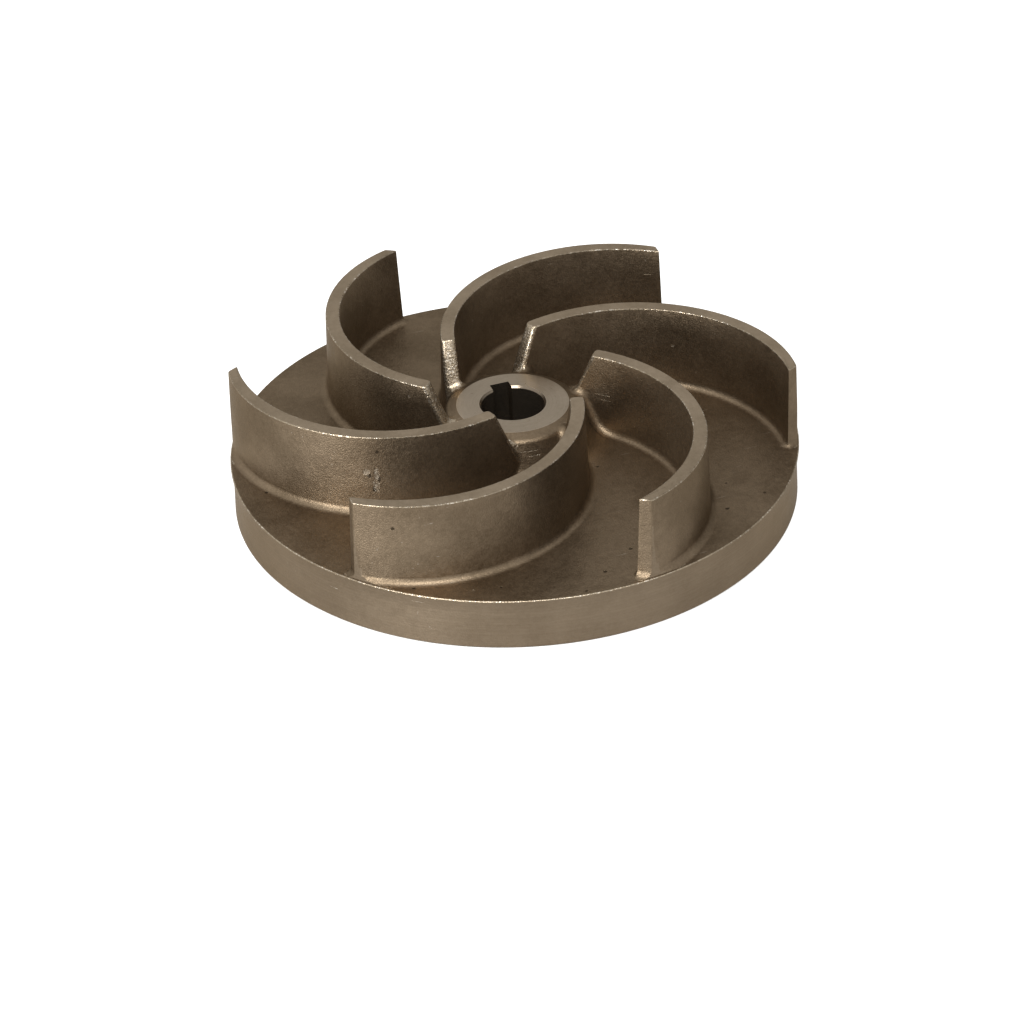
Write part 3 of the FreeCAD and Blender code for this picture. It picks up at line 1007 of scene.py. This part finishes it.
# %% Mixed colours
def mixed(tree, share, first, second):
    """A colour between two, by a share from 0 to 1."""
    first, second = ((*c, 1) if isinstance(c, tuple) else c for c in (first, second))
    values = {0: share, 6: first, 7: second}
    return add_node(tree, "ShaderNodeMix", values, data_type="RGBA").outputs[2]


# %% [markdown]
# One function joins the effects for a finish. The colour runs from a dark to a light
# steel with the tones of the grain and the rings. Pits and pores darken it, scrapes and
# knocks brighten it, and on worn edges bright flecks are painted glints. The relief goes
# through one Bump node. At a flat angle the shader reflects a warmer tint than plain
# steel, as oxide does.

# %% Steel
BRIGHT_SCRAPE = (0.62, 0.56, 0.48)
BRIGHT_KNOCK = (0.55, 0.5, 0.42)
# Colour of the painted glints on worn edges.
GLINT_FLECK_COLOUR = (0.85, 0.78, 0.68)


def steel(name, dark, light, rough, relief, grain=2.6, rings=0.0, pit=0.0, scrape=0.0,
          painted_glint=0.0, metal=0.94):
    """Fills one finish's material: a steel between two colours, with its marks."""
    tree = finish[name].node_tree
    tree.nodes.clear()
    calc, over = partial(sum_node, tree), partial(mixed, tree)
    coords = tree.nodes.new("ShaderNodeTexCoord").outputs["Object"]
    scaled = {0: coords, "Scale": 1 / MM}
    place = add_node(tree, "ShaderNodeVectorMath", scaled, operation="SCALE").outputs[0]

    def effect(kind, **values):
        """Outputs of one of the node groups, placed in this material."""
        values["Place"] = place
        return add_node(tree, "ShaderNodeGroup", values, node_tree=GROUPS[kind]).outputs

    skin = effect("grain", Grain=grain)
    tone = calc("MULTIPLY_ADD", skin["Patch"], 0.5, calc("MULTIPLY", skin["Tone"], 0.5))
    height = calc("MULTIPLY", skin["Height"], relief)
    if rings:
        lines = effect("rings")
        tone = calc("MULTIPLY_ADD", lines["Tone"], 0.35, calc("MULTIPLY", tone, 0.65))
        height = calc("MULTIPLY_ADD", lines["Height"], rings, height)
    colour = over(tone, dark, light)
    roughness = calc("MULTIPLY_ADD", skin["Tone"], 0.1, rough - 0.05)
    if pit:
        for kind, values, cover, shade, depth in (
            ("pits", {"Share": pit}, 0.75, 0.25, -3.0), ("pores", {}, 0.8, 0.2, -4.0),
        ):
            hole = effect(kind, **values)["Mask"]
            darkest = tuple(shade * part for part in dark)
            colour = over(calc("MULTIPLY", hole, cover), colour, darkest)
            height = calc("MULTIPLY_ADD", hole, depth, height)
    if scrape:
        colour = over(effect("scrapes", Amount=scrape)["Mask"], colour, BRIGHT_SCRAPE)
        knock = effect("knocks")["Mask"]
        ragged = ramp(tree, noise(tree, place, 1.6, 3.0, 0.7), 0.42, 0.62, 0.05, 0.6)
        colour = over(calc("MULTIPLY", knock, ragged), colour, BRIGHT_KNOCK)
        height = calc("MULTIPLY_ADD", knock, -1.5, height)
    # Painted glints: bright flecks of colour on worn edges, standing in for light caught by the
    # grains.
    if painted_glint:
        glint_flecks = ramp(tree, noise(tree, place, 1.3, 4.0, 0.75), 0.5, 0.64, 0.0, painted_glint)
        stretch = ramp(tree, noise(tree, place, 0.07, 2.0), 0.42, 0.6, 0.25, 1.0)
        glint_flecks = calc("MULTIPLY", glint_flecks, stretch)
        colour = over(glint_flecks, colour, GLINT_FLECK_COLOUR)
        roughness = calc("SUBTRACT", roughness, calc("MULTIPLY", glint_flecks, 0.1))
    bump = add_node(tree, "ShaderNodeBump", {
        "Strength": 1.0, "Distance": 0.03 * MM, "Height": height,
    })
    shader = add_node(tree, "ShaderNodeBsdfPrincipled", {
        "Base Color": colour, "Roughness": roughness, "Metallic": metal,
        "Specular IOR Level": 0.15, "Specular Tint": (0.78, 0.70, 0.60, 1),
        "Normal": bump.outputs[0],
    })
    add_node(tree, "ShaderNodeOutputMaterial", {0: shader.outputs[0]})


# %% [markdown]
# What each finish is like, from its darkest to its lightest tone. The cast skin is dark
# and grainy, a ground or turned face is lighter and smoother, with rings where a tool
# went round, and the worn edges are rough, with bright flecks as painted glints.

# %% The seven looks
LOOKS = {
    "cast_skin": dict(dark=(0.122, 0.090, 0.058), light=(0.215, 0.164, 0.111), rough=0.42,
                      relief=3.0, pit=0.1, scrape=0.25),
    "ground_tops": dict(dark=(0.25, 0.198, 0.14), light=(0.37, 0.30, 0.222), rough=0.38,
                        relief=0.8, grain=3.2, scrape=0.3),
    "worn_edges_and_glints": dict(dark=(0.20, 0.157, 0.11), light=(0.36, 0.30, 0.22), rough=0.31,
                       relief=5.0, grain=1.8, painted_glint=0.9),
    "turned_hub": dict(dark=(0.31, 0.26, 0.20), light=(0.44, 0.375, 0.30), rough=0.32,
                       relief=0.3, rings=0.8, pit=0.04),
    "turned_rim": dict(dark=(0.158, 0.120, 0.081), light=(0.232, 0.182, 0.128), rough=0.40,
                       relief=1.2, rings=1.0, scrape=0.25, metal=0.92),
    # The bore's colours are painted shade: darker than the turned hub face, as the inside of the
    # bore lies in shade.
    "bored_wall": dict(dark=(0.13, 0.105, 0.078), light=(0.21, 0.172, 0.132), rough=0.20,
                       relief=0.2, rings=0.8, metal=0.92),
    "turned_back": dict(dark=(0.15, 0.118, 0.085), light=(0.235, 0.19, 0.14), rough=0.36,
                        relief=0.4, rings=1.2, pit=0.06),
}
for name, look in LOOKS.items():
    steel(name, **look)
    print(name, "has", len(finish[name].node_tree.nodes), "nodes")

# %% [markdown]
# The part stands on a plain pale floor. The floor shines for the camera alone, so that it
# looks as white as the background of a product photograph, while it throws only a soft
# light up at the walls.

# %% Floor
FLOOR_HALF, FLOOR_LEVEL = 4, -2e-5
floor_mesh = bpy.data.meshes.new("floor")
floor_mesh.from_pydata([
    (x * FLOOR_HALF, y * FLOOR_HALF, FLOOR_LEVEL) for x, y in ((-1, -1), (1, -1), (1, 1), (-1, 1))
], [], [(0, 1, 2, 3)])
floor = new_piece("floor", floor_mesh)
pale = bpy.data.materials.new("pale_floor")
pale.use_nodes = True
seen = pale.node_tree.nodes.new("ShaderNodeLightPath")
fill(pale.node_tree, pale.node_tree.nodes["Principled BSDF"], {
    "Base Color": (0.55, 0.55, 0.55, 1), "Roughness": 0.9, "Specular IOR Level": 0.0,
    "Emission Strength": 0.65, "Emission Color": seen.outputs["Is Camera Ray"],
})
floor_mesh.materials.append(pale)

# %% [markdown]
# The studio's sky is brighter on the left and in front, where the photograph has the
# lighter walls. Two soft lamps draw the bright lines on edges and roots.

# %% Light
world = bpy.data.worlds.new("studio")
bpy.context.scene.world = world
world.use_nodes = True
sky = world.node_tree
direction = sky.nodes.new("ShaderNodeTexCoord")
bright_side = Vector((-0.6, -0.6, 0.5)).normalized()
toward = vector_sum(sky, "DOT_PRODUCT", direction.outputs["Generated"], bright_side)
fill(sky, sky.nodes["Background"], {
    "Color": (1.0, 0.985, 0.96, 1), "Strength": ramp(sky, toward, -1.0, 1.0, 0.36, 1.3),
})


def soft_light(name, place, power, size):
    """A square area light at a place in metres that faces the part."""
    lamp = bpy.data.lights.new(name, "AREA")
    lamp.energy = power
    lamp.size = size
    light = new_piece(name, lamp)
    light.location = place
    away = Vector((0, 0, 0.02)) - Vector(place)
    light.rotation_euler = away.to_track_quat("-Z", "Y").to_euler()


soft_light("front_top", (-0.25, -0.5, 0.75), 7, 0.4)
soft_light("front", (-0.95, -0.65, 0.15), 9, 0.3)
bpy.context.scene.view_settings.view_transform = "Standard"

# %% [markdown]
# The camera looks at the part from the photograph's side and height, from a distance,
# so that the disc's near and far sides differ little in size. A slight roll and a small
# shift of the frame finish the match.

# %% Camera
lens = bpy.data.cameras.new("camera")
lens.lens = 141.7
lens.sensor_width = 36.0
lens.shift_x = -0.0023
lens.shift_y = -0.0682
lens.clip_end = 20
camera = new_piece("camera", lens)
camera.location = (-0.2843, -0.8256, 0.5566)
looking = (Vector((0, 0, 0.014)) - camera.location).to_track_quat("-Z", "Y")
camera.rotation_mode = "QUATERNION"
roll = Quaternion((0, 0, 1), math.radians(-2.29))
camera.rotation_quaternion = looking @ roll
bpy.context.scene.camera = camera
